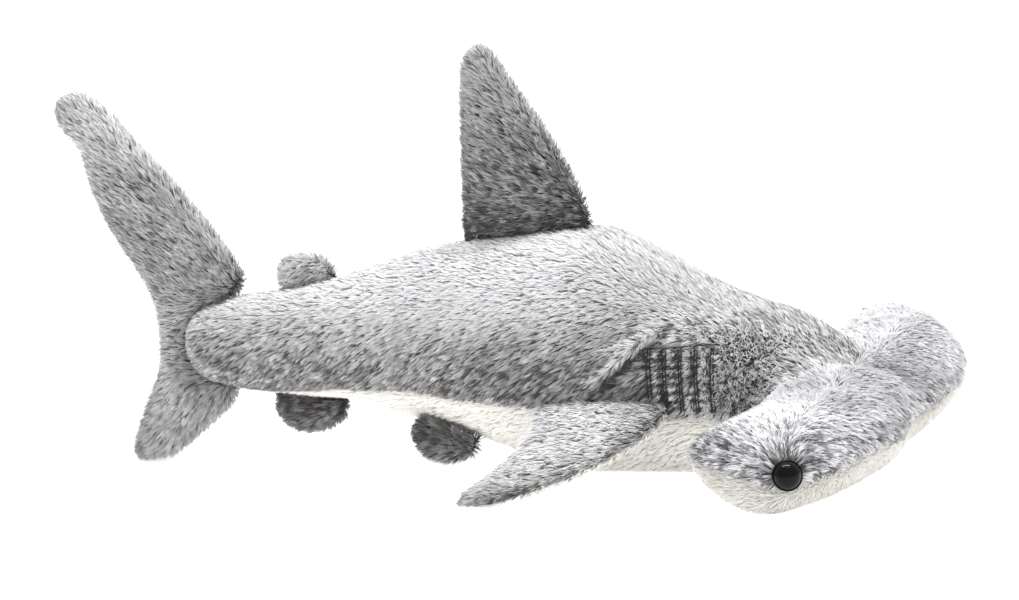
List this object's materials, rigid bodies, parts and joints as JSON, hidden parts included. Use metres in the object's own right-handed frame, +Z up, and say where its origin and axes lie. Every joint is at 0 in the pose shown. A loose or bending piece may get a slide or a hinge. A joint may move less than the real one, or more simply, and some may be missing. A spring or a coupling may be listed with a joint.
{
  "type": "plush hammerhead shark",
  "caption": "Short-pile plush hammerhead shark with grey back, cream belly, stuffed fins, stitched gills and domed eyes; its fins and tail flex at their seams.",
  "frame": {"origin": "on the surface the toy lies on, below the middle of its length and width", "axes": "+X towards the head, +Y towards the toy's left side, +Z up"},
  "size_m": [0.3202, 0.1684, 0.1459],
  "materials": {
    "grey_plush": "short brushed pile, light cool grey with darker roots",
    "cream_plush": "short brushed pile, off-white",
    "filling": "loose polyester fibre",
    "eye": "polished black",
    "washer": "moulded white plastic",
    "thread": "dark grey embroidery thread"
  },
  "bodies": {
    "torso": {"back_left": "grey_plush", "back_right": "grey_plush", "belly": "cream_plush", "body_filling": "filling", "head_top": "grey_plush", "head_underside": "cream_plush", "head_filling": "filling", "eye_left": "eye", "eye_right": "eye", "eye_washer_left": "washer", "eye_washer_right": "washer", "gill_stitches_left": "thread", "gill_stitches_right": "thread"},
    "dorsal_fin": {"dorsal_left": "grey_plush", "dorsal_right": "grey_plush", "dorsal_filling": "filling"},
    "rear_dorsal_fin": {"rear_dorsal_left": "grey_plush", "rear_dorsal_right": "grey_plush", "rear_dorsal_filling": "filling"},
    "anal_fin": {"anal_left": "grey_plush", "anal_right": "grey_plush", "anal_filling": "filling"},
    "tail_fin": {"tail_left": "grey_plush", "tail_right": "grey_plush", "tail_filling": "filling"},
    "pectoral_fin_left": {"pectoral_top_left": "grey_plush", "pectoral_under_left": "cream_plush", "pectoral_filling_left": "filling"},
    "pectoral_fin_right": {"pectoral_top_right": "grey_plush", "pectoral_under_right": "cream_plush", "pectoral_filling_right": "filling"},
    "pelvic_fin_left": {"pelvic_top_left": "grey_plush", "pelvic_under_left": "cream_plush", "pelvic_filling_left": "filling"},
    "pelvic_fin_right": {"pelvic_top_right": "grey_plush", "pelvic_under_right": "cream_plush", "pelvic_filling_right": "filling"}
  },
  "joints": [
    {"name": "dorsal_lean", "type": "hinge", "parent": "torso", "child": "dorsal_fin", "pos_m": [-0.002, 0, 0.0873], "axis": [0.9975, 0, 0.0712], "range_deg": [-30, 30], "stiffness_Nm_per_rad": 0.03},
    {"name": "rear_dorsal_lean", "type": "hinge", "parent": "torso", "child": "rear_dorsal_fin", "pos_m": [-0.0773, 0, 0.06823], "axis": [0.9846, 0, 0.175], "range_deg": [-35, 35], "stiffness_Nm_per_rad": 0.0006},
    {"name": "anal_lean", "type": "hinge", "parent": "torso", "child": "anal_fin", "pos_m": [-0.083, 0, 0.0196], "axis": [0.9985, 0, -0.0555], "range_deg": [-35, 35], "stiffness_Nm_per_rad": 0.0008},
    {"name": "tail_swing", "type": "hinge", "parent": "torso", "child": "tail_fin", "pos_m": [-0.101, 0, 0.044], "axis": [0, 0, 1], "range_deg": [-25, 25], "stiffness_Nm_per_rad": 0.04},
    {"name": "pectoral_flap_left", "type": "hinge", "parent": "torso", "child": "pectoral_fin_left", "pos_m": [0.033, 0.03973, 0.02589], "axis": [0.9995, -0.032, 0], "range_deg": [-20, 60], "stiffness_Nm_per_rad": 0.03},
    {"name": "pectoral_flap_right", "type": "hinge", "parent": "torso", "child": "pectoral_fin_right", "pos_m": [0.033, -0.03973, 0.02589], "axis": [-0.9995, -0.032, 0], "range_deg": [-20, 60], "stiffness_Nm_per_rad": 0.03},
    {"name": "pelvic_flap_left", "type": "hinge", "parent": "torso", "child": "pelvic_fin_left", "pos_m": [-0.019, 0.02238, 0.01803], "axis": [0.9584, 0.0284, -0.284], "range_deg": [-25, 35], "stiffness_Nm_per_rad": 0.001},
    {"name": "pelvic_flap_right", "type": "hinge", "parent": "torso", "child": "pelvic_fin_right", "pos_m": [-0.019, -0.02238, 0.01803], "axis": [-0.9584, 0.0284, 0.284], "range_deg": [-25, 35], "stiffness_Nm_per_rad": 0.001}
  ]
}
